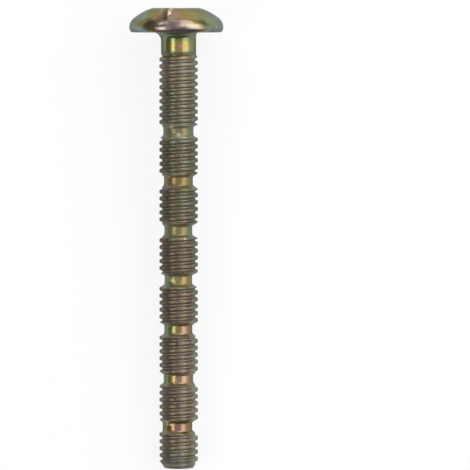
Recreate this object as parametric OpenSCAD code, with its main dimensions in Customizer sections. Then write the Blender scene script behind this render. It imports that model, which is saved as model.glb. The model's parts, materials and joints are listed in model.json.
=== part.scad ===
// Break-off screw for fixing knobs and handles to cabinet doors.
// It is headed, thread-rolled and necked from one steel blank, so it is a single solid.
// The end is snapped off by hand at whichever neck leaves the length that is needed.
// The thread is drawn as a plain cylinder at its outer diameter, broken by the necks.
// The screw lies as it comes to rest, on the rim of its head and the edge of its tip.

/* [Head] */
// Diameter of the head at its widest
head_d = 9.5; // [8.5:0.1:12]
// Height of the head above its seat
head_h = 2.45; // [2:0.05:3]
// Diameter of the flat on the crown
flat_d = 4.8; // [4.4:0.1:6]
// Radius of the dome
dome_r = 5.6; // [4:0.1:9]
// Height of the widest part of the head above its seat
rim_h = 0.5; // [0.4:0.05:0.65]
// Radius of the round from the dome to the widest part
rim_top_r = 1.2; // [0.9:0.1:1.3]
// Radius of the round from the widest part to the seat
rim_low_r = 0.7; // [0.65:0.05:1.2]

/* [Drive] */
// Width of the slot
slot_w = 1.2; // [0.8:0.1:1.6]
// Depth of the slot below the crown
slot_depth = 1.2; // [0.8:0.05:1.5]
// Turn of the slot about the screw's axis, from straight up, in degrees
slot_turn = 20; // [0:1:90]
// Span of the cross recess from wing to wing at the crown
wing_span = 4.4; // [3.6:0.1:4.6]
// Width of a wing of the cross recess
wing_w = 1.1; // [0.8:0.05:1.3]
// Slope of the outer end of a wing, in degrees
wing_taper = 13; // [8:1:16]
// Diameter of the round core of the recess at the crown
core_d = 2.6; // [2.2:0.1:3]
// Slope of the wall of the core, in degrees
core_taper = 7; // [2:1:12]
// Depth of the core and the wings, down to the cone at the bottom
core_depth = 1.7; // [1.4:0.05:2]
// Half angle of the cone at the bottom of the core, in degrees
core_point = 60; // [50:1:75]
// Length of the marks at 45 degrees to the wings
mark_l = 0.75; // [0.5:0.05:0.9]
// Width of the marks
mark_w = 0.25; // [0.15:0.05:0.35]
// Depth of the marks below the crown
mark_depth = 0.15; // [0.05:0.05:0.3]
// Flat left between the marks and the edge of the crown
mark_inset = 0.1; // [0.05:0.05:0.2]

/* [Shank] */
// Length from the seat to the end
length = 44.1; // [20:0.1:60]
// Diameter of the plain part, which is the blank that the thread is rolled on
shank_d = 3.55; // [3:0.05:4.2]
// Length of the plain part below the seat
plain_l = 2.3; // [1.2:0.1:4]
// Radius of the fillet between the plain part and the seat
seat_fillet = 0.8; // [0.2:0.1:1.1]
// Outer diameter of the thread
thread_d = 3.9; // [3.2:0.05:4.6]
// Slope of the thread's lead from the plain part, in degrees
lead_slope = 45; // [20:1:60]

/* [Break-off necks] */
// Distance from the seat to the middle of the first neck
neck_first = 10; // [6:0.5:15]
// Distance from one neck to the next
neck_step = 5; // [3:0.5:10]
// Diameter at the bottom of a neck
neck_d = 2.9; // [2.4:0.05:3.5]
// Width of a neck at the outside of the thread
neck_w = 1.45; // [1.1:0.05:1.6]
// Slope of the sides of a neck from square, in degrees
neck_slope = 30; // [10:1:35]
// Radius in the corners of a neck
neck_fillet = 0.2; // [0.05:0.05:0.3]
// Least length left beyond the last neck
end_min = 3; // [2:0.5:5]

/* [Tip] */
// Length of the tapered end
tip_l = 0.95; // [0.8:0.05:1.5]
// Diameter of the flat on the end
tip_flat_d = 2.4; // [2:0.1:2.8]
// Radius round the edge of that flat
tip_r = 0.4; // [0.1:0.05:0.5]

/* [Hidden] */
// Colour of the yellow zinc plate
zinc = [0.66, 0.6, 0.36];
// Sides of a full turn, and the longest step along an arc in degrees
turn_fn = 96;
arc_step = 7.5;
// How far a cut runs on past the crown
over = 1;
head_r = head_d / 2;
flat_r = flat_d / 2;
shank_r = shank_d / 2;
thread_r = thread_d / 2;
neck_r = neck_d / 2;
lead_l = abs(thread_r - shank_r) / tan(lead_slope);
neck_count = floor((length - end_min - neck_first) / neck_step) + 1;

// The dome starts at the edge of the flat and runs tangent into the round of the rim.
rim_top_c = [head_r - rim_top_r, rim_h];
rim_low_c = [head_r - rim_low_r, rim_h];
dome_edge = [flat_r, head_h];
dome_span = norm(rim_top_c - dome_edge);
dome_dir = (rim_top_c - dome_edge) / dome_span;
dome_along = (dome_r ^ 2 - (dome_r - rim_top_r) ^ 2 + dome_span ^ 2) / (2 * dome_span);
dome_aside = sqrt(dome_r ^ 2 - dome_along ^ 2);
dome_c = dome_edge + dome_along * dome_dir + dome_aside * [dome_dir.y, -dome_dir.x];
dome_start = atan2(dome_edge.y - dome_c.y, dome_edge.x - dome_c.x);
dome_end = atan2(rim_top_c.y - dome_c.y, rim_top_c.x - dome_c.x);
rim_start = -asin(rim_h / rim_low_r);

// A neck's floor ends where the corner rounds begin, this far from the middle of the neck.
neck_turn = 90 - neck_slope;
neck_floor = neck_w / 2 - (thread_r - neck_r) * tan(neck_slope) - neck_fillet * tan(neck_turn / 2);

// The taper of the tip runs from the thread's edge tangent to the round of the end.
tip_c = [tip_flat_d / 2, tip_r - length];
tip_edge = [thread_r, tip_l - length];
tip_off = tip_edge - tip_c;
tip_turn = atan2(tip_off.y, tip_off.x) - acos(tip_r / norm(tip_off));

// Bottom of the recess, and where the marks end.
core_floor_r = core_d / 2 - core_depth * tan(core_taper);
wing_floor_r = wing_span / 2 - core_depth * tan(wing_taper);
mark_out = flat_r - mark_inset;

// Lying, one line along the floor touches the low round of the rim and the lowest of the tip.
rest_tilt = min(rest_angle(tip_edge, 0), rest_angle(tip_c, tip_r));
rest_lift = rim_low_c.x * cos(rest_tilt) + rim_low_r - rim_low_c.y * sin(rest_tilt);
crown_y = head_h * cos(rest_tilt) + flat_r * sin(rest_tilt);
end_y = tip_c.y * cos(rest_tilt) - tip_c.x * sin(rest_tilt) - tip_r;

// Tilt of the axis when the low round of the rim and a round of radius r about c are on the floor.
function rest_angle(c, r) =
    let (reach = rim_low_c - c)
    atan2(reach.x, reach.y) + asin((rim_low_r - r) / norm(reach));

// Points on a round of radius r about c, from angle a to angle b.
function arc(c, r, a, b) =
    let (n = max(1, ceil(abs(b - a) / arc_step)))
    [for (i = [0 : n]) c + r * [cos(a + (b - a) * i / n), sin(a + (b - a) * i / n)]];

// Outline of the neck whose middle is d below the seat, from its tip side up to its head side.
function neck_outline(d) = concat(
    [[thread_r, -d - neck_w / 2]],
    arc([neck_r + neck_fillet, -d - neck_floor], neck_fillet, 180 + neck_turn, 180),
    arc([neck_r + neck_fillet, -d + neck_floor], neck_fillet, 180, 180 - neck_turn),
    [[thread_r, -d + neck_w / 2]]
);

function shank_outline() = concat(
    [[0, -length]],
    arc(tip_c, tip_r, -90, tip_turn),
    [tip_edge],
    [for (i = [neck_count - 1 : -1 : 0]) each neck_outline(neck_first + i * neck_step)],
    [[thread_r, -plain_l - lead_l], [shank_r, -plain_l]]
);

function head_outline() = concat(
    arc([shank_r + seat_fillet, -seat_fillet], seat_fillet, 180, 90),
    arc(rim_low_c, rim_low_r, rim_start, 0),
    arc(rim_top_c, rim_top_r, 0, dome_end),
    arc(dome_c, dome_r, dome_end, dome_start),
    [[0, head_h]]
);

// The turned form, with its axis on Z and the seat at zero.
module blank() {
    rotate_extrude($fn = turn_fn)
        polygon(concat(shank_outline(), head_outline()));
}

module slot() {
    translate([-slot_w / 2, -head_d, head_h - slot_depth])
        cube([slot_w, 2 * head_d, slot_depth + over]);
}

// A cone that is r_floor at the floor of the recess and keeps its slope up past the crown.
module recess_cone(r_floor, slope) {
    cone_h = core_depth + over;
    translate([0, 0, head_h - core_depth])
        cylinder(h = cone_h, r1 = r_floor, r2 = r_floor + cone_h * tan(slope), $fn = turn_fn);
}

module wings() {
    intersection() {
        recess_cone(wing_floor_r, wing_taper);
        for (a = [0, 90])
            rotate([0, 0, a])
                translate([-wing_w / 2, -wing_span, head_h - core_depth])
                    cube([wing_w, 2 * wing_span, core_depth + over]);
    }
}

// The core ends in a short cone, which the heading punch leaves.
module core() {
    point_h = core_floor_r / tan(core_point);
    recess_cone(core_floor_r, core_taper);
    translate([0, 0, head_h - core_depth - point_h])
        cylinder(h = point_h, r1 = 0, r2 = core_floor_r, $fn = turn_fn);
}

module marks() {
    for (a = [45 : 90 : 315])
        rotate([0, 0, a])
            translate([mark_out - mark_l, -mark_w / 2, head_h - mark_depth])
                cube([mark_l, mark_w, mark_depth + over]);
}

module drive() {
    rotate([0, 0, -slot_turn]) {
        slot();
        wings();
        core();
        marks();
    }
}

module lying() {
    translate([0, -(crown_y + end_y) / 2, rest_lift])
        rotate([rest_tilt - 90, 0, 0])
            children();
}

module screw() {
    color(zinc)
        lying()
            difference() {
                blank();
                drive();
            }
}

screw();
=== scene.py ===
import json
import math

import bmesh
import bpy
from mathutils import Matrix, Vector, noise


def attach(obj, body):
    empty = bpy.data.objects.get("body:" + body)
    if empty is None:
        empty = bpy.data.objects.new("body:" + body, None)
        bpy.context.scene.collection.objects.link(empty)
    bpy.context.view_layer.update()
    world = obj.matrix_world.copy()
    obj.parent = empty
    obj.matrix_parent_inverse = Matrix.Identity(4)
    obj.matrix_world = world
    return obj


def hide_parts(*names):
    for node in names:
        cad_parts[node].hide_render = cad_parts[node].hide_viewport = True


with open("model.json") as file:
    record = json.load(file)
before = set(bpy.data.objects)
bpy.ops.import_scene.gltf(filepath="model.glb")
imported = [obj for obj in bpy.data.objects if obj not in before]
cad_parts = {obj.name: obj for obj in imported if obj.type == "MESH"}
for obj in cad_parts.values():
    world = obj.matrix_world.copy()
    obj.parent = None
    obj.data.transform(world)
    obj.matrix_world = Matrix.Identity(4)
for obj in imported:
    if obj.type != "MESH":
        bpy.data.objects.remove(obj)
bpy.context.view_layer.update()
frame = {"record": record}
mm = 0.001
sides = 96  # facets round the screw, the same on the head and the shank so that they join
turns = [2 * math.pi * side / sides for side in range(sides)]

head = {
    "diameter": 9.5 * mm,
    "height": 2.45 * mm,
    "flatDiameter": 4.8 * mm,
    "domeRadius": 5.6 * mm,
    "rimHeight": 0.5 * mm,
    "rimTopRadius": 1.2 * mm,
    "rimLowRadius": 0.7 * mm,
    "offset": -0.23 * mm,  # along X: the head was struck a little off the shank's axis
    "filletMean": 0.6 * mm,
    "filletSwing": 0.25 * mm,  # the fillet is fuller on the side that the head is struck to
    "filletUp": 0.2 * mm,  # and on the side that lies uppermost
    "neckLine": 1.05 * mm,  # below the seat, where the shank is joined on
    "stub": 0.6 * mm,  # spare length below that line, cut off again
    # Steps round each arc.
    "domeSteps": 8,
    "rimTopSteps": 12,
    "rimLowSteps": 9,
    "filletSteps": 12,
}


# The screw's own space has its axis on Z, the crown at the top, zero at the seat and -Y up.
def screwSpace():
    mounts = {mount["name"]: mount for mount in frame["record"]["mounts"]}
    axis = Vector(mounts["drive"]["axis"]).normalized()
    across = Vector((1, 0, 0))
    space = Matrix((across, axis.cross(across), axis)).transposed().to_4x4()
    space.translation = Vector(mounts["drive"]["pos_m"]) - axis * head["height"]
    return space


def arcPoints(centre, radius, first, last, steps):
    angles = [math.radians(first + (last - first) * step / steps) for step in range(steps + 1)]
    x, y = centre
    return [(x + radius * math.cos(angle), y + radius * math.sin(angle)) for angle in angles]


# The dome's centre, and the angles at which it leaves the crown and meets the rim's round.
def domeArc():
    topCentre = Vector((head["diameter"] / 2 - head["rimTopRadius"], head["rimHeight"]))
    edge = Vector((head["flatDiameter"] / 2, head["height"]))
    reach = topCentre - edge
    span = reach.length
    inner = head["domeRadius"] - head["rimTopRadius"]
    along = (head["domeRadius"] ** 2 - inner ** 2 + span ** 2) / (2 * span)
    aside = math.sqrt(head["domeRadius"] ** 2 - along ** 2)
    centre = edge + reach / span * along + Vector((reach.y, -reach.x)) / span * aside
    first = math.degrees(math.atan2(edge.y - centre.y, edge.x - centre.x))
    last = math.degrees(math.atan2(topCentre.y - centre.y, topCentre.x - centre.x))
    return centre, first, last


# Radius and height from the crown's edge round the rim to the seat.
def headOutline():
    rim = head["diameter"] / 2
    centre, domeStart, domeEnd = domeArc()
    topCentre = (rim - head["rimTopRadius"], head["rimHeight"])
    lowCentre = (rim - head["rimLowRadius"], head["rimHeight"])
    rimEnd = -math.degrees(math.asin(head["rimHeight"] / head["rimLowRadius"]))
    outline = arcPoints(centre, head["domeRadius"], domeStart, domeEnd, head["domeSteps"])
    outline += arcPoints(topCentre, head["rimTopRadius"], domeEnd, 0, head["rimTopSteps"])[1:]
    outline += arcPoints(lowCentre, head["rimLowRadius"], 0, rimEnd, head["rimLowSteps"])[1:]
    return outline


# Height of the head's upper surface at a distance from its axis.
def headHeight(radius):
    if radius <= head["flatDiameter"] / 2:
        return head["height"]
    centre, _, domeEnd = domeArc()
    if radius < centre.x + head["domeRadius"] * math.cos(math.radians(domeEnd)):
        return centre.y + math.sqrt(head["domeRadius"] ** 2 - (radius - centre.x) ** 2)
    over = radius - head["diameter"] / 2 + head["rimTopRadius"]
    return head["rimHeight"] + math.sqrt(max(head["rimTopRadius"] ** 2 - over ** 2, 0))


# A ring of points, from one radius and height for all of them or from one pair for each.
def ringOf(body, pairs):
    if isinstance(pairs, tuple):
        pairs = [pairs] * sides
    return [body.verts.new((radius * math.cos(turn), radius * math.sin(turn), height))
            for turn, (radius, height) in zip(turns, pairs)]


def skin(body, upper, lower):
    count = len(upper)
    for side in range(count):
        after = (side + 1) % count
        body.faces.new((upper[side], lower[side], lower[after], upper[after]))


def closeUp(body, rings):
    for upper, lower in zip(rings, rings[1:]):
        skin(body, upper, lower)
    body.faces.new(rings[0])
    body.faces.new(rings[-1][::-1])
    return body


def turnedBody(outline):
    body = bmesh.new()
    return closeUp(body, [ringOf(body, pair) for pair in outline])


# The head before its drive is cut, about the shank's axis, with a stub of the shank below it.
def headBlank():
    body = bmesh.new()
    plain = shank["plainDiameter"] / 2
    rings = [ringOf(body, pair) for pair in headOutline()]
    for ring in rings:
        bmesh.ops.translate(body, verts=ring, vec=(head["offset"], 0, 0))
    fillets = [head["filletMean"] - head["filletSwing"] * math.cos(turn)
               + head["filletUp"] * max(-math.sin(turn), 0) for turn in turns]
    steps = head["filletSteps"]
    for step in range(steps + 1):
        angle = math.radians(90 + 90 * step / steps)
        out, down = 1 + math.cos(angle), math.sin(angle) - 1
        rings.append(ringOf(body, [(plain + fillet * out, fillet * down) for fillet in fillets]))
    rings.append(ringOf(body, (plain, -head["neckLine"])))
    rings.append(ringOf(body, (plain, -head["neckLine"] - head["stub"])))
    return closeUp(body, rings)


drive = {
    "slotWidth": 1.2 * mm,
    "slotDepth": 1.2 * mm,
    "slotTurn": 20,  # degrees
    "slotRound": 0.12 * mm,  # on the slot's upper edges
    # A burr that a driver raised beside the slot: where it is across and along the slot, its sizes, and
    # the way that its flat faces, across, up and along to the crown.
    "burr": {"across": 0.68 * mm, "along": -3.74 * mm, "width": 0.42 * mm, "length": 0.75 * mm,
             "depth": 0.3 * mm, "round": 0.07 * mm, "raised": 0.08 * mm, "facing": (0.3, 0.93, 0.22)},
    "wingRound": 0.05 * mm,
    "wingSpan": 4.4 * mm,
    "wingWidth": 1.1 * mm,
    "wingTaper": 13,
    "coreDiameter": 2.6 * mm,
    "coreTaper": 7,
    "coreDepth": 1.7 * mm,
    "corePoint": 60,
    "markLength": 0.75 * mm,
    "markWidth": 0.25 * mm,
    "markDepth": 0.15 * mm,
    "markInset": 0.1 * mm,
    "over": 1 * mm,  # how far a cut runs on past the crown
    "edgeSweep": 75,  # degrees of round on an edge before the cutter opens straight out
    "edgeSteps": 4,
    "clear": 0.3 * mm,  # how far a slot's cutter stands out of the surface
    "leastWall": 0.01 * mm,
    "slotSteps": 24,  # along half the slot
    "coreBlunt": 50,  # how many times narrower the cone's point is than the core's floor
    "slotFilm": 0.6,  # thickness of the film on the slot's floor and walls
    "slotPaintedLight": 1.0,  # painted light: how far those are lightened at the top
    "slotDim": 0.85,  # and the share of that painted light at the floor
    "coreFilm": 0.6,  # and the same in the cross recess
    # painted light in the cross recess
    "corePaintedLight": 0.35,
    "lowHalfFilm": 0.9,  # thickness on its lower half, towards +Y
    "slotLit": 0.5 * mm,  # below the crown, where the slot's walls reach their full painted light
    # A vertex is in the drive if it is this far in from the rim, above this height and this far below the
    # surface, and in the recess if it is within this margin of the wings.
    "inside": {"rim": 0.1 * mm, "height": 0.3 * mm, "sunk": 0.1 * mm, "coreSunk": 0.03 * mm,
               "wings": 0.05 * mm},
}


# Half a slot's section at one station: across and height, from its floor up past the head's surface.
def slotSection(half, floor, surface, rounding, high):
    start = max(surface - rounding, floor + drive["leastWall"])
    section = [(half, floor), (half, start)]
    for step in range(1, drive["edgeSteps"] + 1):
        angle = math.radians(drive["edgeSweep"] * step / drive["edgeSteps"])
        section.append((half + rounding * (1 - math.cos(angle)), start + rounding * math.sin(angle)))
    across, height = section[-1]
    section.append((across + (high - height) * math.tan(math.radians(drive["edgeSweep"])), high))
    return section


# A cutter for a slot along Y. Its upper edges open out where they meet the head's surface.
def slotBody(width, floor, rounding, stations, surfaceAt):
    body = bmesh.new()
    rings = []
    for station in stations:
        surface = surfaceAt(station)
        right = slotSection(width / 2, floor, surface, rounding, max(surface, floor) + drive["clear"])
        loop = [(-across, height) for across, height in right[::-1]] + right
        rings.append([body.verts.new((across, station, height)) for across, height in loop])
    closeUp(body, rings)
    bmesh.ops.recalc_face_normals(body, faces=body.faces)
    return body


# A block with its long way on Y.
def blockBody(width, length, low, high):
    body = bmesh.new()
    bmesh.ops.create_cube(body, size=1)
    bmesh.ops.scale(body, vec=(width, length, high - low), verts=body.verts)
    bmesh.ops.translate(body, vec=(0, 0, (low + high) / 2), verts=body.verts)
    return body


def place(body, name):
    mesh = bpy.data.meshes.new(name)
    body.to_mesh(mesh)
    body.free()
    made = bpy.data.objects.new(name, mesh)
    bpy.context.scene.collection.objects.link(made)
    return made


def driveSpace():
    turn = Matrix.Rotation(math.radians(-drive["slotTurn"]), 4, "Z")
    return Matrix.Translation((head["offset"], 0, 0)) @ turn


# The slot, the cross recess and its marks as cutters, turned and set on the head's axis.
def driveCutters():
    crown = head["height"]
    high = crown + drive["over"]
    floor = crown - drive["coreDepth"]
    bodies = []
    half = drive["slotWidth"] / 2
    reach = head["diameter"] / 2
    steps = drive["slotSteps"]
    stations = [reach * step / steps for step in range(-steps, steps + 1)]
    bodies.append(slotBody(drive["slotWidth"], crown - drive["slotDepth"], drive["slotRound"], stations,
                           lambda station: headHeight(math.hypot(station, half))))
    for wing in range(2):
        lean = math.tan(math.radians(drive["wingTaper"]))
        body = slotBody(drive["wingWidth"], floor, drive["wingRound"], (-1, 1), lambda station: crown)
        for vert in body.verts:
            vert.co.y *= drive["wingSpan"] / 2 + (vert.co.z - crown) * lean
        body.transform(Matrix.Rotation(math.pi / 2 * wing, 4, "Z"))
        bodies.append(body)
    slope = math.tan(math.radians(drive["coreTaper"]))
    coreTop = drive["coreDiameter"] / 2
    coreFloor = coreTop - drive["coreDepth"] * slope
    point = coreFloor / math.tan(math.radians(drive["corePoint"]))
    edge = drive["wingRound"]
    bodies.append(turnedBody([(coreTop + drive["over"], high), (coreTop + edge, crown),
                              (coreTop, crown - edge), (coreFloor, floor),
                              (coreFloor / drive["coreBlunt"], floor - point)]))
    markMiddle = head["flatDiameter"] / 2 - drive["markInset"] - drive["markLength"] / 2
    for mark in range(4):
        body = blockBody(drive["markWidth"], drive["markLength"], crown - drive["markDepth"], high)
        turn = Matrix.Rotation(math.radians(45 + 90 * mark), 4, "Z")
        body.transform(turn @ Matrix.Translation((0, markMiddle, 0)))
        bodies.append(body)
    for body in bodies:
        body.transform(driveSpace())
    return [place(body, "driveCut") for body in bodies]


# The burr beside the slot, a block with rounded edges, half sunk in the head's surface.
def burrBody():
    burr = drive["burr"]
    body = blockBody(burr["width"], burr["length"], -burr["depth"], 0)
    bmesh.ops.bevel(body, geom=body.edges[:], offset=burr["round"], segments=3, profile=0.5,
                    affect="EDGES")
    across, up, along = burr["facing"]
    lean = Vector((across, -up, along)).to_track_quat("Z", "Y").to_matrix().to_4x4()
    reach = math.hypot(burr["across"], burr["along"])
    spot = Vector((burr["across"], burr["along"], headHeight(reach) + burr["raised"]))
    body.transform(Matrix.Translation(driveSpace() @ spot) @ lean)
    return place(body, "slotBurr")


# The passivate film. A run holds places, in millimetres across the screw or up from the seat, each with a
# thickness from 0 to 1 or with an amount. Other places here are in millimetres too.
film = {
    # Across the head, on its rim and on its dome.
    "rim": [(-4.7, 0.14), (-4.3, 0.26), (-3.9, 0.38), (-3.5, 0.5), (-2.9, 0.62), (-2.3, 0.74), (-1.8, 0.74),
            (-1.5, 0.8), (-0.5, 0.84), (0.1, 0.72), (0.35, 0.66), (0.8, 0.63), (1.2, 0.61), (1.7, 0.48),
            (2.2, 0.34), (3.1, 0.26), (4.2, 0.06)],
    "dome": [(-4.0, 0.02), (-3.2, 0.1), (-2.3, 0.52), (-0.7, 0.68), (0.2, 0.56), (1.3, 0.44), (2.0, 0.38),
             (2.8, 0.2), (3.8, 0.05)],
    "rimTop": 0.9,  # heights between which the rim's run gives way to the dome's
    "domeLow": 1.6,
    "crown": 0.15,
    "domeTop": 2.2,  # heights between which that gives way to the crown
    "crownLow": 2.42,
    # Along the low edge of the head, a darker film as painted shade under the highlights, thick in the
    # middle and thin at the ends.
    "low": [(-3.4, 0.03), (-2.6, 0.5), (-2.0, 0.84), (-0.5, 0.86), (0.4, 0.88), (1.9, 0.92), (2.4, 0.5),
            (2.9, 0.03)],
    "lowTop": 0.66,  # height at which the low edge's run starts, and where it is in full
    "lowFull": 0.46,
    # Down the plain part, and what is added across it.
    "under": [(-2.1, 0.3), (-1.85, 0.5), (-1.65, 0.6), (-1.4, 0.61), (-1.1, 0.54), (-0.9, 0.46),
              (-0.7, 0.34), (0.0, 0.25)],
    "underAcross": [(-1.3, -0.1), (-0.45, -0.08), (0.0, 0.03), (0.4, 0.04), (0.8, -0.02), (1.2, -0.08)],
    "underFall": 0.25,  # how much thinner it is along the sides of the plain part, as painted reflection
    # The yellower stretch of the plain part: how far below the seat it starts, is in full, fades and ends,
    # and how much of it is lost along the sides.
    "gilt": {"start": 0.1, "full": 0.5, "fade": 1.2, "end": 1.8, "lost": 0.6},
    # Down the thread, and how rosy it is there.
    "thread": [(-44, 0.25), (-42.8, 0.3), (-41.5, 0.55), (-39, 0.64), (-36, 0.62), (-28, 0.6), (-22, 0.56),
               (-18, 0.46), (-11, 0.42), (-8, 0.45), (-3, 0.46)],
    "rosy": [(-43.5, 0), (-41.5, 0.25), (-39, 0.44), (-33, 0.38), (-24, 0.26), (-20, 0.1), (-15, 0)],
    "rosyLost": 0.8,  # how much of that is lost along the sides
    # Along the sides of the shank the film is darker and greener, as painted shade and painted reflection.
    "sideStart": 0.55,  # share of the way to them where that starts
    "lessAcross": 0.12,  # how much less of it there is towards +X on the plain part
    "neckShare": 0.65,  # share of it on the necks
    "sideFall": 0.3,  # how much thinner it is along the sides of the necks, as painted reflection
    "wallFall": 0.2,  # and on their walls
    # Painted shade in the fillet under the head, and painted shade and reflection at both ends of the
    # head's low edge.
    "filletShade": {"amount": 0.7, "low": -1.05, "high": -0.72},
    "endsSideShade": {"amount": 0.65, "from": 2.4, "full": 3.6, "top": 0.6, "low": 0.2},
}

# Spots on the head, painted highlights where the amount is above zero and painted shade where it is below:
# across, up and along to the crown, how wide, and how much.
lightAndShadeSpots = [
    (1.25, 4.4, 0.75, 0.6, 0.6), (1.8, 4.15, 0.55, 0.5, 0.6), (2.4, 3.8, 0.5, 0.4, 0.3),
    (0.35, 4.45, 0.95, 0.8, -0.2), (2.5, 3.85, 1.05, 0.75, -0.5), (3.3, 3.2, 0.3, 1.0, -0.26),
    (4.0, 2.4, 0.7, 1.3, -0.15), (-0.9, 3.6, 2.0, 0.45, 0.9), (-1.45, 4.5, 0.85, 0.33, -0.35),
    (-1.5, 4.45, 0.1, 0.4, -0.3), (-2.3, 3.95, 0.9, 0.6, -0.3), (-2.95, 3.5, 0.9, 1.0, -0.62),
    (-3.5, 2.9, 0.8, 0.7, -0.37), (-4.2, 2.2, 0.8, 1.4, -0.22), (-3.8, 2.9, 0.85, 0.5, -0.2),
    (0.0, 4.5, 1.15, 0.6, -0.3), (-0.62, 3.35, 2.05, 0.35, -0.2), (-2.25, 3.3, 1.75, 0.55, -0.2),
    (-3.25, 1.85, 1.95, 0.8, 0.3), (2.6, 1.85, 2.05, 0.7, 0.25), (2.8, 2.45, 1.75, 0.8, 0.15),
    (-1.4, 4.6, 0.54, 0.28, 0.45), (-1.85, 4.45, 0.57, 0.35, -0.35), (-1.4, 4.45, 1.05, 0.4, -0.25),
    (0.1, 2.25, 0.0, 0.45, -0.15), (2.3, 4.0, 0.2, 0.4, -0.3), (2.8, 3.65, 0.5, 0.45, -0.35),
    (0.4, 4.5, 0.78, 0.5, 0.5), (-2.75, 3.45, 1.2, 0.6, -0.35), (-3.3, 3.1, 0.85, 0.5, -0.2),
    (-2.35, 4.1, 0.5, 0.5, -0.45),
]

# How the metal is dulled, and where painted highlights and painted shade lie on it, with runs and places
# like the film's.
finishAndPaintedLight = {
    "crownEdgeHighlight": 1.0,  # how pale the edge of the crown is painted, a painted highlight
    "crownEdgeHighlightWide": 0.45 * mm,
    # How much lighter or darker the crests are painted, down the shank and along a few lines of it: painted
    # highlight and painted shade.
    "down": [(-44, -0.12), (-43, 0.0), (-42, 0.12), (-36, 0.12), (-31, 0.07), (-26, 0), (-22, -0.08),
             (-12, -0.1), (-9, 0), (-6, 0.07), (-3, 0.22)],
    "across": [(-1.6, 0.1), (-1.28, 0.03), (-0.97, -0.06), (-0.67, -0.09), (-0.37, -0.09), (-0.07, 0.0),
               (0.24, 0.15), (0.54, 0.12), (0.84, -0.16), (1.15, -0.08), (1.45, 0.2)],
    # The lines show more, by this amount, between these distances below the seat.
    "more": {"amount": 0.5, "from": 20, "full": 38},
    "seat": {"dull": 0.6, "low": -0.6, "high": -0.2, "top": 0.1},  # round the seat, between these heights
    # Where the plain part ends and the thread's first turn starts, dulled and darkened as painted shade.
    "plainEnd": {"from": 1.8, "full": 2.05, "paintedShade": 0.35},
    "firstTurn": {"dull": 0.5, "paintedShade": 0.25},
    "lastTurns": {"dull": 0.8, "from": 42.4, "full": 43.4},
    "neckLeft": 0.3,  # how much duller and darker the necks are towards -X, painted shade on that side
    "wall": {"from": 0.04 * mm, "full": 0.2 * mm, "pale": 0.15},  # a neck's, by how far out of its floor; painted light on the walls
    "endThread": 0.8,  # share of the thread's finish on the end
}

# What each vertex tells the material.
traits = ("drive", "film", "side", "dull", "pale", "gilt", "groove", "thread", "rosy")


# The value at a place on a run.
def onRun(run, at):
    for (low, first), (high, second) in zip(run, run[1:]):
        if at < high:
            return first + (second - first) * max(at - low, 0) / (high - low)
    return run[-1][1]


# How much of a step from 0 at one value to 1 at another has been taken.
def rising(value, low, high):
    share = min(max((value - low) / (high - low), 0), 1)
    return share * share * (3 - 2 * share)


# How thick the film is at a point of the head or of the plain part below it.
def filmAt(spot):
    across, height = spot.x / mm, spot.z / mm
    if height < 0:
        share = abs(spot.x) / math.hypot(spot.x, spot.y)
        thickness = onRun(film["under"], height) + onRun(film["underAcross"], across)
        return thickness - film["underFall"] * share ** 3
    rim, dome, low = (onRun(film[stretch], across) for stretch in ("rim", "dome", "low"))
    thickness = rim + (dome - rim) * rising(height, film["rimTop"], film["domeLow"])
    thickness += (film["crown"] - thickness) * rising(height, film["domeTop"], film["crownLow"])
    # Painted shade along the head's low edge.
    return thickness + (low - thickness) * rising(-height, -film["lowTop"], -film["lowFull"])


# Painted highlight on the head at a point, from the crown's edge and the spots, below zero for painted
# shade.
def paintedLightAt(spot):
    radius, height = math.hypot(spot.x - head["offset"], spot.y), spot.z
    edge = max(abs(radius - head["flatDiameter"] / 2), abs(height - head["height"])) / finishAndPaintedLight["crownEdgeHighlightWide"]
    pale = finishAndPaintedLight["crownEdgeHighlight"] * max(1 - edge, 0)
    for across, up, along, wide, amount in lightAndShadeSpots:
        away = (Vector((across, -up, along)) * mm - spot).length / (wide * mm)
        pale += amount * max(1 - away * away, 0) ** 2
    return min(pale, 1)


# From 0 along the uppermost and lowest lines of the shank to 1 along its sides, where painted shade and
# painted reflection darken the film.
def sideOf(spot):
    return rising(abs(spot.x) / math.hypot(spot.x, spot.y), film["sideStart"], 1)


# The same painted side shade on the plain part and the head: at both ends of its low edge, and painted
# shade in the fillet all round.
def sideShadeAt(spot):
    fillet, ends = film["filletShade"], film["endsSideShade"]
    if spot.z < 0:
        side = sideOf(spot) * (1 - film["lessAcross"] * spot.x / mm)
        return max(side, fillet["amount"] * rising(spot.z, fillet["low"] * mm, fillet["high"] * mm))
    out = rising(abs(spot.x), ends["from"] * mm, ends["full"] * mm)
    return ends["amount"] * out * rising(-spot.z, -ends["top"] * mm, -ends["low"] * mm)


# How much yellower the film is on the upper stretch of the plain part.
def giltAt(spot):
    gilt = film["gilt"]
    share = abs(spot.x) / math.hypot(spot.x, spot.y)
    come = rising(-spot.z, gilt["start"] * mm, gilt["full"] * mm)
    stay = rising(spot.z, -gilt["end"] * mm, -gilt["fade"] * mm)
    return come * stay * (1 - gilt["lost"] * share * share)


# How dull the head is round its seat.
def seatDullAt(spot):
    seat = finishAndPaintedLight["seat"]
    return seat["dull"] * rising(spot.z, seat["low"] * mm, seat["high"] * mm) * (spot.z < seat["top"] * mm)


def tell(vert, layers, **values):
    for trait, value in values.items():
        vert[layers[trait]] = value


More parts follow.
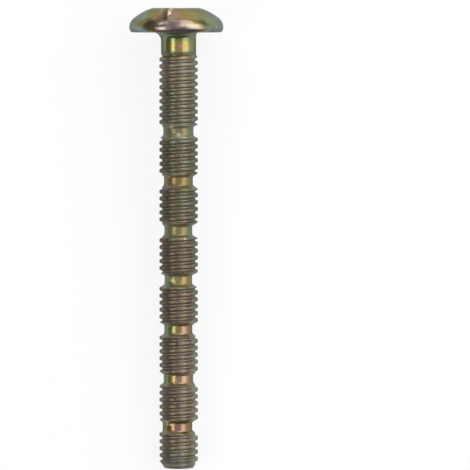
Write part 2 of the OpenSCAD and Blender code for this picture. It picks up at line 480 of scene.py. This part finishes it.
# Tells the material about a vertex of the head, in the drive or on the outside.
def tellHead(vert, layers):
    spot, inside, crown = vert.co, drive["inside"], head["height"]
    radius = math.hypot(spot.x - head["offset"], spot.y)
    sunk = headHeight(radius) - spot.z
    cored = radius < drive["wingSpan"] / 2 + inside["wings"]
    within = radius < head["diameter"] / 2 - inside["rim"] and spot.z > inside["height"]
    if not within or sunk <= (inside["coreSunk"] if cored else inside["sunk"]):
        tell(vert, layers, film=filmAt(spot), side=sideShadeAt(spot), dull=seatDullAt(spot), pale=paintedLightAt(spot),
             gilt=giltAt(spot))
    elif cored:
        # Painted light in the cross recess, with a darker film on its lower half.
        recessFilm = drive["lowHalfFilm"] if spot.y > 0 else drive["coreFilm"]
        tell(vert, layers, drive=drive["corePaintedLight"], film=recessFilm)
    else:
        # Painted light in the slot, lighter towards the top.
        lit = rising(spot.z, crown - drive["slotDepth"], crown - drive["slotLit"])
        dim = drive["slotDim"] + (1 - drive["slotDim"]) * lit
        tell(vert, layers, drive=drive["slotPaintedLight"] * dim, film=drive["slotFilm"])


# The head with its drive cut, open at the bottom where the shank goes on.
def headBody():
    blank = place(headBlank(), "headBlank")
    burr = burrBody()
    cutters = driveCutters()
    for tool in [*cutters, burr]:
        cut = blank.modifiers.new(tool.name, "BOOLEAN")
        cut.operation = "UNION" if tool is burr else "DIFFERENCE"
        cut.solver = "EXACT"
        cut.object = tool
    graph = bpy.context.evaluated_depsgraph_get()
    body = bmesh.new()
    body.from_mesh(blank.evaluated_get(graph).to_mesh())
    for old in [blank, burr, *cutters]:
        bpy.data.objects.remove(old)
    below = [face for face in body.faces if face.calc_center_median().z < -head["neckLine"]]
    bmesh.ops.delete(body, geom=below, context="FACES")
    layers = {trait: body.verts.layers.float.new(trait) for trait in traits}
    for vert in body.verts:
        tellHead(vert, layers)
    return body


shank = {
    "length": 44.05 * mm,
    "plainDiameter": 3.55 * mm,
    "plainLength": 2.08 * mm,
    "threadDiameter": 3.9 * mm,
    "pitch": 0.7021 * mm,  # 0.7 mm by its size, and a little more as measured
    "crestFlat": 0.21 * mm,
    "crestRound": 0.06 * mm,
    "rootRound": 0.08 * mm,
    "flank": 28,  # degrees, half the angle between two flanks
    "rootSteps": 2,
    "crestSteps": 3,
    "uneven": 0.012 * mm,  # how far the crests come and go
    "unevenLong": 0.45 * mm,  # over about this length, and this many times round
    "unevenRound": 2,
    "firstRoot": 3.088 * mm,  # below the seat, on the side at -X
    "grooveIn": 0.2 * mm,  # over which the thread's groove sinks in below the plain part
    "crestStart": 2.2 * mm,  # below the seat, where the crests start to rise
    "runIn": 0.5 * mm,  # over which they come up to their full height
    "tipLength": 0.75 * mm,
    "tipFlatDiameter": 2.74 * mm,
    "tipRound": 0.12 * mm,
    "tipPlain": 0.1 * mm,
    "joining": 0.01 * mm,  # how near a vertex of the thread comes to the level rings before it joins them
    "plainSteps": 8,
    "tipSteps": 4,
}


# One turn of the thread from root to root: how far down, the radius and how deep in the groove.
def threadProfile():
    crest, root = shank["crestRound"], shank["rootRound"]
    outer = shank["threadDiameter"] / 2
    steep = math.radians(90 - shank["flank"])
    half = shank["pitch"] / 2
    flat = shank["crestFlat"] / 2
    run = half - flat - (crest + root) * math.sin(steep)
    depth = (crest + root) * (1 - math.cos(steep)) + run * math.tan(steep)
    down = []
    rootSteps, crestSteps = shank["rootSteps"], shank["crestSteps"]
    for step in range(rootSteps + 1):
        angle = steep * step / rootSteps
        down.append((root * math.sin(angle), outer - depth + root * (1 - math.cos(angle))))
    for step in range(crestSteps + 1):
        angle = steep * (crestSteps - step) / crestSteps
        down.append((half - flat - crest * math.sin(angle), outer - crest * (1 - math.cos(angle))))
    up = [(shank["pitch"] - drop, radius) for drop, radius in down[:0:-1]]
    return [(drop, radius, (outer - radius) / depth) for drop, radius in down + up]


necks = {
    "first": 10 * mm,
    "step": 5 * mm,
    "slope": 28,
    "headFillet": 0.2 * mm,
    "tipFillet": 0.3 * mm,
    "blend": 0.05 * mm,
    # From the head down: the tool sank in unevenly, and each neck took the plating differently. Each neck's
    # amount of painted light, below zero here, is painted shade that darkens it. A tilt is what is added
    # towards +X.
    "each": [
        {"diameter": 3.06 * mm, "width": 1.35 * mm, "aside": -0.02 * mm, "up": 0,
         "film": 0.43, "filmTilt": 0.0, "dull": 1.0, "pale": -0.12, "rosy": 0, "rosyTilt": 0},
        {"diameter": 2.92 * mm, "width": 1.44 * mm, "aside": -0.02 * mm, "up": 0,
         "film": 0.54, "filmTilt": 0.0, "dull": 0.6, "pale": -0.15, "rosy": 0.35, "rosyTilt": 0.1},
        {"diameter": 2.82 * mm, "width": 1.52 * mm, "aside": -0.03 * mm, "up": 0,
         "film": 0.48, "filmTilt": 0.0, "dull": 0.9, "pale": -0.07, "rosy": 0, "rosyTilt": 0.1},
        {"diameter": 2.78 * mm, "width": 1.5 * mm, "aside": -0.03 * mm, "up": 0,
         "film": 0.49, "filmTilt": 0.18, "dull": 0.6, "pale": 0, "rosy": 0, "rosyTilt": 0.6},
        {"diameter": 2.84 * mm, "width": 1.48 * mm, "aside": -0.04 * mm, "up": 0,
         "film": 0.51, "filmTilt": 0.26, "dull": 0.3, "pale": -0.06, "rosy": 0.25, "rosyTilt": 0.6},
        {"diameter": 2.98 * mm, "width": 1.38 * mm, "aside": -0.03 * mm, "up": 0,
         "film": 0.6, "filmTilt": 0.12, "dull": 0.2, "pale": -0.02, "rosy": 0.3, "rosyTilt": 0.5},
        {"diameter": 3.0 * mm, "width": 1.38 * mm, "aside": -0.13 * mm, "up": 0.15 * mm,
         "film": 0.62, "filmTilt": -0.03, "dull": 0.1, "pale": -0.22, "rosy": 0.75, "rosyTilt": -0.15},
    ],
    # Burrs and dents that the tool left: the turn from the uppermost line towards +X in degrees, how far
    # below the seat, how wide, how much they stand out, how much thicker the film is on them and how pale,
    # a painted glint where above zero and painted shade where below.
    "burrs": [
        {"turn": -24, "down": 9.5 * mm, "wide": 0.32 * mm, "raised": 0.13 * mm, "film": 0.1, "pale": 1.1},
        {"turn": -3, "down": 10.3 * mm, "wide": 0.28 * mm, "raised": 0.06 * mm, "film": 0.1, "pale": 0.9},
        {"turn": 21, "down": 20.75 * mm, "wide": 0.25 * mm, "raised": 0.12 * mm, "film": 0.1, "pale": 1.0},
        {"turn": -4, "down": 24.45 * mm, "wide": 0.6 * mm, "raised": -0.12 * mm, "film": -0.2, "pale": 0},
        {"turn": -33, "down": 24.9 * mm, "wide": 0.25 * mm, "raised": 0.1 * mm, "film": -0.1, "pale": 0.5},
        {"turn": -40, "down": 39.45 * mm, "wide": 0.3 * mm, "raised": 0.15 * mm, "film": 0.05, "pale": 1.0},
        {"turn": -36, "down": 39.9 * mm, "wide": 0.3 * mm, "raised": -0.02 * mm, "film": 0.12,
         "pale": -0.1},
    ],
}


def softMin(one, other, blend):
    near = max(blend - abs(one - other), 0) / blend
    return min(one, other) - near * near * blend / 4


# Radius that the nearest neck leaves at a height and turn, far out where it doesn't reach, and that neck.
def neckRadius(height, turn):
    number = round((-height - necks["first"]) / necks["step"])
    number = min(max(number, 0), len(necks["each"]) - 1)
    neck = necks["each"][number]
    away = -height - necks["first"] - number * necks["step"] + neck["up"]
    floor = neck["diameter"] / 2
    outer = shank["threadDiameter"] / 2
    slope = math.radians(necks["slope"])
    fillet = necks["tipFillet"] if away > 0 else necks["headFillet"]
    away = abs(away)
    bend = math.pi / 2 - slope
    flat = neck["width"] / 2 - (outer - floor) * math.tan(slope) - fillet * math.tan(bend / 2)
    over = away - flat
    floor += neck["aside"] * math.cos(turn)
    if over <= 0:
        return floor, neck
    if over < fillet * math.sin(bend):
        return floor + fillet - math.sqrt(fillet ** 2 - over ** 2), neck
    corner = floor + fillet * (1 - math.cos(bend))
    return corner + (over - fillet * math.sin(bend)) / math.tan(slope), neck


# How much the burrs add to the radius and to the film at a height and turn, and how pale they are.
def burrAt(height, turn):
    raised, thicker, pale = 0, 0, 0
    for burr in necks["burrs"]:
        swing = math.remainder(turn + math.pi / 2 - math.radians(burr["turn"]), 2 * math.pi)
        away = math.hypot(swing * shank["plainDiameter"] / 2, height + burr["down"]) / burr["wide"]
        if away < 1:
            raised += burr["raised"] * (1 - away * away) ** 2
            thicker += burr["film"] * (1 - away * away) ** 2
            pale += burr["pale"] * (1 - away * away)
    return raised, thicker, pale


# Radius of the tapered end at a height.
def tipRadius(height):
    above = height + shank["length"]
    centre = Vector((shank["tipFlatDiameter"] / 2, shank["tipRound"]))
    edge = Vector((shank["threadDiameter"] / 2, shank["tipLength"]))
    away = edge - centre
    turn = math.atan2(away.y, away.x) - math.acos(shank["tipRound"] / away.length)
    touch = centre + shank["tipRound"] * Vector((math.cos(turn), math.sin(turn)))
    if above < touch.y:
        return centre.x + math.sqrt(max(shank["tipRound"] ** 2 - (above - centre.y) ** 2, 0))
    return touch.x + (edge.x - touch.x) * (above - touch.y) / (edge.y - touch.y)


# Tells the material about a vertex of the thread. Come and sink are how far its crests and its groove have
# formed there, from 0 to 1.
def tellThread(vert, layers, come, sink, pale, thicker):
    spot = vert.co
    first, ending, more = finishAndPaintedLight["firstTurn"], finishAndPaintedLight["lastTurns"], finishAndPaintedLight["more"]
    last = ending["dull"] * rising(-spot.z, ending["from"] * mm, ending["full"] * mm)
    lines = 1 + more["amount"] * rising(-spot.z, more["from"] * mm, more["full"] * mm)
    # Painted highlight and shade on the crests, and painted shade on the thread's first turn.
    crestShading = onRun(finishAndPaintedLight["down"], spot.z / mm) + lines * onRun(finishAndPaintedLight["across"], spot.x / mm)
    side = sideOf(spot)
    tell(vert, layers, thread=come, dull=max(first["dull"] * (1 - come), last), side=side,
         pale=pale + crestShading * come - first["paintedShade"] * (1 - sink),
         film=onRun(film["thread"], spot.z / mm) + thicker,
         rosy=onRun(film["rosy"], spot.z / mm) * (1 - film["rosyLost"] * side))


# And for a vertex of a neck: how far it is towards +X, and how much it belongs to a wall.
def tellNeck(vert, layers, neck, across, wall, pale, thicker):
    # Painted shade on the neck and towards -X, and painted light on its walls.
    thickness = neck["film"] + neck["filmTilt"] * across - film["sideFall"] * abs(across) ** 3
    tell(vert, layers, dull=max(neck["dull"] + finishAndPaintedLight["neckLeft"] * max(-across, 0), wall),
         pale=pale + neck["pale"] * (1 - wall) + finishAndPaintedLight["wall"]["pale"] * wall,
         rosy=max(neck["rosy"] + neck["rosyTilt"] * across, 0) * (1 - wall),
         film=thickness - film["wallFall"] * wall + thicker, side=sideOf(vert.co) * film["neckShare"])


# Adds the shank below the head's open ring. Its rows follow the thread's helix between two level rings.
def addShank(body):
    layers = {trait: body.verts.layers.float[trait] for trait in traits}
    plain = shank["plainDiameter"] / 2
    pitch = shank["pitch"]
    profile = threadProfile()
    ring = [vert for vert in body.verts if vert.is_boundary]
    nudge = 1e-6  # keeps the vertex at zero first
    ring.sort(key=lambda vert: (math.atan2(vert.co.y, vert.co.x) + nudge) % (2 * math.pi))
    plainEnd = finishAndPaintedLight["plainEnd"]
    for step in range(1, shank["plainSteps"] + 1):
        height = -head["neckLine"] - (shank["plainLength"] - head["neckLine"]) * step / shank["plainSteps"]
        lower = ringOf(body, (plain, height))
        skin(body, ring, lower)
        ring = lower
        for vert in ring:
            # Painted shade where the plain part ends.
            dulledAndShaded = rising(-vert.co.z, plainEnd["from"] * mm, plainEnd["full"] * mm)
            tell(vert, layers, film=filmAt(vert.co), side=sideShadeAt(vert.co), gilt=giltAt(vert.co),
                 dull=dulledAndShaded, pale=-plainEnd["paintedShade"] * dulledAndShaded)
    topRing, top = ring, -shank["plainLength"]
    end = shank["tipPlain"] - shank["length"]
    endRing = ringOf(body, (tipRadius(end), end))

    def thread(side, turnNumber, row):
        drop, radius, depth = profile[row]
        height = -shank["firstRoot"] + pitch * (side / sides - 0.5 - turnNumber) - drop
        if height > top - shank["joining"]:
            return topRing[side]
        if height < end + shank["joining"]:
            return endRing[side]
        turn = turns[side]
        across, away = math.cos(turn), math.sin(turn)
        come = min(max((-height - shank["crestStart"]) / shank["runIn"], 0), 1)
        sink = min((top - height) / shank["grooveIn"], 1)
        swing = shank["unevenRound"]
        rough = noise.noise(Vector((swing * across, swing * away, height / shank["unevenLong"])))
        radius += shank["uneven"] * (rough - 0.5) * (1 - depth)
        radius = plain + (radius - plain) * (come if radius > plain else sink)
        necked, neck = neckRadius(height, turn)
        raised, thicker, pale = burrAt(height, turn)
        cut = softMin(radius, necked, necks["blend"])
        cut = softMin(cut, tipRadius(height), necks["blend"]) + raised
        vert = body.verts.new((cut * across, cut * away, height))
        tell(vert, layers, groove=depth * sink)
        if radius <= necked:
            tellThread(vert, layers, come, sink, pale, thicker)
        else:
            wall = rising(necked - neck["diameter"] / 2, finishAndPaintedLight["wall"]["from"], finishAndPaintedLight["wall"]["full"])
            tellNeck(vert, layers, neck, across, wall, pale, thicker)
        return vert

    turnNumbers = range(-3, int(shank["length"] / pitch) + 1)  # from well above the plain part's end
    rows = [[thread(side, number, row) for side in range(sides)]
            for number in turnNumbers for row in range(len(profile))]
    for upperNumber in range(len(rows) - 1):
        for side in range(sides):
            corners = []
            for number, at in ((0, 0), (1, 0), (1, 1), (0, 1)):
                row, column = upperNumber + number, side + at
                if column == sides:  # one turn on, the row joins the row of the turn above
                    row, column = row - len(profile), 0
                corner = rows[row][column] if row >= 0 else topRing[column]
                if corner not in corners:
                    corners.append(corner)
            if len(corners) > 2:
                body.faces.new(corners)
    ring = endRing
    for step in range(1, shank["tipSteps"] + 1):
        height = end - shank["tipPlain"] * math.sin(math.pi / 2 * step / shank["tipSteps"])
        lower = ringOf(body, (tipRadius(height), height))
        skin(body, ring, lower)
        ring = lower
        for vert in ring:
            tell(vert, layers, film=onRun(film["thread"], height / mm), thread=finishAndPaintedLight["endThread"],
                 side=sideOf(vert.co))
    body.faces.new(ring[::-1])


# Edges that turn more than this stay sharp, in degrees, in the crown's plane and elsewhere.
sharp = {"crown": 10, "other": 35, "level": 0.001 * mm}


def buildScrew(finish):
    body = headBody()
    print("head", len(body.faces), "faces")
    addShank(body)
    print("head and shank", len(body.faces), "faces")
    crown = head["height"]
    for face in body.faces:
        face.smooth = True
    for edge in body.edges:
        level = all(abs(vert.co.z - crown) < sharp["level"] for vert in edge.verts)
        limit = sharp["crown"] if level else sharp["other"]
        edge.smooth = not edge.is_manifold or edge.calc_face_angle(0) < math.radians(limit)
    body.transform(screwSpace())
    screw = place(body, "threadedScrew")
    screw.data.materials.append(finish)
    even = screw.modifiers.new("evenNormals", "WEIGHTED_NORMAL")
    even.keep_sharp = True
    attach(screw, "root")
    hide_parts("screw")


# One socket in a material's tree, so that shader maths reads as plain expressions.
class Wire:
    def __init__(self, tree, socket=None):
        self.tree = tree
        self.socket = socket

    def feed(self, target, value):
        if isinstance(value, Wire):
            self.tree.links.new(value.socket, target)
        elif target.type == "RGBA":
            target.default_value = (*value, 1)
        else:
            target.default_value = value

    def node(self, kind, settings, sockets, output=0):
        made = self.tree.nodes.new("ShaderNode" + kind)
        for name, value in settings.items():
            if name == "stops":
                elements = made.color_ramp.elements
                while len(elements) < len(value):
                    elements.new(1)
                for stop, (at, colour) in zip(elements, value):
                    stop.position = at
                    stop.color = (*colour, 1)
            else:
                setattr(made, name, value)
        for name, value in sockets.items():
            found = [socket for socket in made.inputs if socket.enabled]
            target = next(socket for socket in found if name in (socket.name, socket.identifier))
            self.feed(target, value)
        found = [socket for socket in made.outputs if socket.enabled]
        return Wire(self.tree, next(socket for socket in found if output in (0, socket.name)))

    def maths(self, operation, first, second):
        made = self.tree.nodes.new("ShaderNodeMath")
        made.operation = operation
        self.feed(made.inputs[0], first)
        self.feed(made.inputs[1], second)
        return Wire(self.tree, made.outputs[0])

    def __add__(self, other):
        return self.maths("ADD", self, other)

    def __radd__(self, other):
        return self.maths("ADD", other, self)

    def __sub__(self, other):
        return self.maths("SUBTRACT", self, other)

    def __rsub__(self, other):
        return self.maths("SUBTRACT", other, self)

    def __mul__(self, other):
        return self.maths("MULTIPLY", self, other)

    def __rmul__(self, other):
        return self.maths("MULTIPLY", other, self)

    def mix(self, factor, first, second, blend="MIX"):
        settings = {"data_type": "RGBA", "blend_type": blend}
        return self.node("Mix", settings, {"Factor": factor, "A": first, "B": second}, "Result")


zinc = {
    # Colours of the passivate film from thin to thick.
    "film": [
        (0.0, (0.33, 0.35, 0.355)),
        (0.15, (0.27, 0.31, 0.215)),
        (0.3, (0.25, 0.27, 0.125)),
        (0.44, (0.33, 0.28, 0.125)),
        (0.5, (0.33, 0.265, 0.09)),
        (0.56, (0.325, 0.24, 0.1)),
        (0.64, (0.37, 0.25, 0.17)),
        (0.72, (0.355, 0.28, 0.245)),
        (0.84, (0.225, 0.18, 0.172)),
        (1.0, (0.12, 0.09, 0.07)),
    ],
    # Painted shade on the crests and flanks and painted light in the roots, which even out the thread's
    # highlights.
    "crest": (0.06, 0.052, 0.041),
    "flank": (0.16, 0.142, 0.114),
    "root": (0.47, 0.412, 0.315),
    "grime": (0.07, 0.062, 0.052),
    "bare": (0.4, 0.36, 0.31),
    # painted shade, where the light amount is below zero
    "paintedShade": (0.035, 0.03, 0.024),
    "yellow": (1.0, 1.0, 0.45),
    "rose": (1.02, 0.8, 0.85),
    "paintedSideThread": (0.125, 0.126, 0.13),  # painted shade and reflection on the threads at the sides
    "paintedSideShade": (0.125, 0.158, 0.108),  # painted shade and reflection on the plain metal at the sides
    # the dull finish, also painted shade at the plain part's end, on the first turn and on the necks
    # towards -X
    "dull": (0.125, 0.113, 0.07),
    # painted light in the slot and the cross recess
    "recess": (0.6, 0.5, 0.31),
    # painted highlight
    "pale": (0.46, 0.415, 0.35),
    "edgeTint": (0.46, 0.5, 0.49),
    # Patches: how many to a millimetre, and how much they and the place across add to the film.
    "patches": {"broad": 0.55, "fine": 2.6, "speck": 5.5, "streak": (1.5, 1.5, 0.7)},
    "uneven": {"broad": 0.3, "fine": 0.2, "streak": 2.3, "across": 0.05},
    # How far each colour is mixed in. Grime and bare metal show where the specks pass a level.
    "share": {"crest": 0.57, "crestAcross": 0.02, "root": 0.7, "flank": 0.5, "dull": 0.45, "paintedSideShade": 0.85,
              "yellow": 0.42, "paintedSideThread": 0.7, "grime": 2.4, "grimeLevel": 0.52, "bare": 2.0,
              "bareLevel": 0.44, "recess": 0.7},
    "rough": {"plain": 0.25, "thread": 0.17, "dull": 0.06, "fine": 0.2, "recess": 0.15},
    "matt": {"flank": 0.5, "recess": 0.55, "dull": 0.4},  # how much less metallic
    "bump": {"fine": 0.6, "gilt": 0.6, "strength": 0.3, "depth": 0.06 * mm},
}


def zincPlate():
    material = bpy.data.materials.new("yellowZincPlate")
    material.use_nodes = True
    tree = material.node_tree
    tree.nodes.clear()
    start = Wire(tree)
    space = screwSpace()
    coordinates = start.node("TexCoord", {}, {}, "Object")
    spot = start.node("Mapping", {"vector_type": "TEXTURE"}, {
        "Vector": coordinates,
        "Location": space.translation,
        "Rotation": space.to_euler(),
        "Scale": (mm, mm, mm),
    })
    across = start.node("SeparateXYZ", {}, {"Vector": spot}, "X")
    recessLight, placed, sideShade, dullAndShadeMask, paintedLightMask, gilt, groove, thread, rosy = (
        start.node("Attribute", {"attribute_name": trait}, {}, "Fac") for trait in traits)
    patches, uneven, share = zinc["patches"], zinc["uneven"], zinc["share"]
    rough, matt, bumps = zinc["rough"], zinc["matt"], zinc["bump"]
    broad = start.node("TexNoise", {}, {"Vector": spot, "Scale": patches["broad"], "Detail": 2.0}, "Fac")
    fine = start.node("TexNoise", {}, {"Vector": spot, "Scale": patches["fine"], "Detail": 3.0}, "Fac")
    speck = start.node("TexNoise", {}, {"Vector": spot, "Scale": patches["speck"], "Detail": 2.0}, "Fac")
    stretched = start.node("VectorMath", {"operation": "MULTIPLY"}, {
        "Vector": spot,
        "Vector_001": patches["streak"],
    }, "Vector")
    streak = start.node("TexNoise", {}, {"Vector": stretched, "Scale": 1.0, "Detail": 2.0}, "Fac")
    thickness = placed + uneven["broad"] * (broad - 0.5) + uneven["fine"] * (fine - 0.5)
    thickness = thickness + (uneven["streak"] * (streak - 0.5) - uneven["across"] * across) * thread
    tinted = start.node("ValToRGB", {"stops": zinc["film"]}, {"Fac": thickness}, "Color")
    # Painted shade on the crests, darker towards -X, painted light in the roots and painted shade on the
    # flanks.
    crestShading = start.mix(thread * (share["crest"] - share["crestAcross"] * across), tinted, zinc["crest"])
    rootLit = start.mix(groove * groove * thread * share["root"], crestShading, zinc["root"])
    flank = 4 * groove * (1 - groove) * thread
    flankShaded = start.mix(flank * share["flank"], rootLit, zinc["flank"])
    # Dull finish, and painted shade at the plain part's end, on the first turn and on the necks towards -X.
    dulledAndShaded = start.mix(dullAndShadeMask * share["dull"], flankShaded, zinc["dull"])
    # Painted shade and painted reflection along the sides, on the plain metal and on the thread.
    paintedSideShade = start.mix(sideShade * (1 - thread) * share["paintedSideShade"], dulledAndShaded, zinc["paintedSideShade"])
    gilded = start.mix(gilt * share["yellow"], paintedSideShade, zinc["yellow"], "MULTIPLY")
    sideThreadShaded = start.mix(sideShade * thread * share["paintedSideThread"], gilded, zinc["paintedSideThread"])
    grimy = start.mix(thread * share["grime"] * (speck - share["grimeLevel"]), sideThreadShaded, zinc["grime"])
    bared = start.mix(thread * share["bare"] * (share["bareLevel"] - speck), grimy, zinc["bare"])
    # Painted highlights, then painted shade where the light amount is below zero.
    highlighted = start.mix(paintedLightMask, bared, zinc["pale"])
    rosed = start.mix(rosy, highlighted, zinc["rose"], "MULTIPLY")
    shadeMixed = start.mix(0 - paintedLightMask, rosed, zinc["paintedShade"])
    # Painted light in the slot and the cross recess.
    colour = start.mix(recessLight * share["recess"], shadeMixed, zinc["recess"])
    roughness = rough["plain"] + rough["thread"] * thread + rough["dull"] * dullAndShadeMask
    roughness = roughness + rough["fine"] * (fine - 0.5) + rough["recess"] * recessLight
    metallic = 1 - matt["flank"] * flank - matt["recess"] * recessLight - matt["dull"] * dullAndShadeMask
    relief = (broad - 0.5 + bumps["fine"] * (fine - 0.5)) * (1 - bumps["gilt"] * gilt)
    bump = start.node("Bump", {}, {
        "Height": relief,
        "Strength": bumps["strength"],
        "Distance": bumps["depth"],
    }, "Normal")
    surface = start.node("BsdfPrincipled", {}, {
        "Base Color": colour,
        "Metallic": metallic,
        "Roughness": roughness,
        "Specular Tint": zinc["edgeTint"],
        "Normal": bump,
    }, "BSDF")
    out = tree.nodes.new("ShaderNodeOutputMaterial")
    tree.links.new(surface.socket, out.inputs["Surface"])
    return material


stage = {
    "floorSize": 3.0,
    "floorColour": (0.95, 0.95, 0.95),
    "floorGlow": 0.85,  # share of the floor that is plain white to the eye and in reflections
    "worldColour": (0.2, 0.2, 0.21),
}


def buildFloor():
    body = bmesh.new()
    half = stage["floorSize"] / 2
    corners = ((-1, -1), (1, -1), (1, 1), (-1, 1))
    body.faces.new([body.verts.new((x * half, y * half, 0)) for x, y in corners])
    floor = place(body, "floor")
    material = bpy.data.materials.new("paleFloor")
    material.use_nodes = True
    tree = material.node_tree
    tree.nodes.clear()
    start = Wire(tree)
    rays = {name: start.node("LightPath", {}, {}, name) for name in
            ("Is Camera Ray", "Is Glossy Ray", "Is Transmission Ray")}
    seen = rays["Is Camera Ray"] + rays["Is Glossy Ray"] + rays["Is Transmission Ray"]
    matt = start.node("BsdfDiffuse", {}, {"Color": stage["floorColour"]}, "BSDF")
    white = start.node("Emission", {}, {"Color": (1, 1, 1), "Strength": 1.0}, "Emission")
    both = start.node("MixShader", {}, {
        "Fac": seen * stage["floorGlow"],
        "Shader": matt,
        "Shader_001": white,
    }, "Shader")
    out = tree.nodes.new("ShaderNodeOutputMaterial")
    tree.links.new(both.socket, out.inputs["Surface"])
    floor.data.materials.append(material)


# Each lamp's angles from straight above the screw, round its axis and towards the crown, and the span
# that it fills across and along, in degrees. At a radiance of 1 it is white in a mirror.
lamps = {
    "leftStrip": {"turn": -36, "rise": -12, "span": 20, "length": 40, "radiance": 3.6, "distance": 0.35},
    "leftPatch": {"turn": -39, "rise": 42, "span": 10, "length": 22, "radiance": 3.6, "distance": 0.35},
    "rightPanel": {"turn": 46, "rise": 7, "span": 38, "length": 58, "radiance": 1.95, "distance": 0.35},
    "rightUpper": {"turn": 38, "rise": 55, "span": 24, "length": 38, "radiance": 1.3, "distance": 0.35},
    "rightBridge": {"turn": 18, "rise": 25, "span": 15, "length": 24, "radiance": 1.3, "distance": 0.35},
    "rightInner": {"turn": 14, "rise": -14, "span": 22, "length": 36, "radiance": 0.25, "distance": 0.4},
    "rightLow": {"turn": 79, "rise": -4, "span": 26, "length": 44, "radiance": 0.6, "distance": 0.4},
    "rightSoft": {"turn": 52, "rise": 36, "span": 70, "length": 108, "radiance": 0.36, "distance": 0.45},
    "topFill": {"turn": -3, "rise": 36, "span": 44, "length": 108, "radiance": 0.46, "distance": 0.45},
}


def addLamp(name, space, target):
    lampSet = lamps[name]
    turn = math.radians(lampSet["turn"])
    rise = math.radians(lampSet["rise"])
    across, axis = space.col[0].xyz, space.col[2].xyz
    back = across.cross(axis)
    level = across * math.sin(turn) + back * math.cos(turn)
    side = across * math.cos(turn) - back * math.sin(turn)
    out = level * math.cos(rise) + axis * math.sin(rise)
    upward = axis * math.cos(rise) - level * math.sin(rise)
    lamp = bpy.data.lights.new(name, "AREA")
    lamp.shape = "RECTANGLE"
    lamp.size = 2 * lampSet["distance"] * math.tan(math.radians(lampSet["span"] / 2))
    lamp.size_y = 2 * lampSet["distance"] * math.tan(math.radians(lampSet["length"] / 2))
    lamp.energy = math.pi * lampSet["radiance"] * lamp.size * lamp.size_y
    made = bpy.data.objects.new(name, lamp)
    bpy.context.scene.collection.objects.link(made)
    made.matrix_world = Matrix((side, upward, out)).transposed().to_4x4()
    made.location = target + out * lampSet["distance"]
    made.visible_camera = False


view = {
    "distance": 0.575,
    "frame": 470,  # pixels, the image's width and height
    "scale": 9.9,  # pixels in a millimetre
    "axisPixel": 178.65,
    "seatPixel": 32.4,
    "eyePixel": -12,  # row that the camera is level with, just past the crown
}


def buildCamera(space):
    lens = bpy.data.cameras.new("camera")
    camera = bpy.data.objects.new("camera", lens)
    bpy.context.scene.collection.objects.link(camera)
    middle = view["frame"] / 2
    right = (middle - view["axisPixel"]) / view["scale"] * mm
    up = (view["seatPixel"] - view["eyePixel"]) / view["scale"] * mm
    down = (view["seatPixel"] - middle) / view["scale"] * mm
    across, axis = space.col[0].xyz, space.col[2].xyz
    target = space.translation + across * right + axis * down
    camera.location = target + axis * (up - down) + across.cross(axis) * view["distance"]
    reach = camera.location - target
    back = reach.normalized()
    camera.rotation_euler = Matrix((across, back.cross(across), back)).transposed().to_euler()
    lens.sensor_width = 36
    lens.lens = lens.sensor_width * reach.length / (view["frame"] / view["scale"] * mm)
    lens.clip_start = 0.01
    lens.clip_end = 10
    bpy.context.scene.camera = camera


screwFrame = screwSpace()
buildScrew(zincPlate())
buildFloor()
middle = screwFrame @ Vector((0, 0, -shank["length"] / 2))
for name in lamps:
    addLamp(name, screwFrame, middle)
world = bpy.data.worlds.new("studio")
world.use_nodes = True
world.node_tree.nodes["Background"].inputs["Color"].default_value = (*stage["worldColour"], 1)
bpy.context.scene.world = world
buildCamera(screwFrame)
bpy.context.scene.view_settings.view_transform = "Standard"
print("stage set")
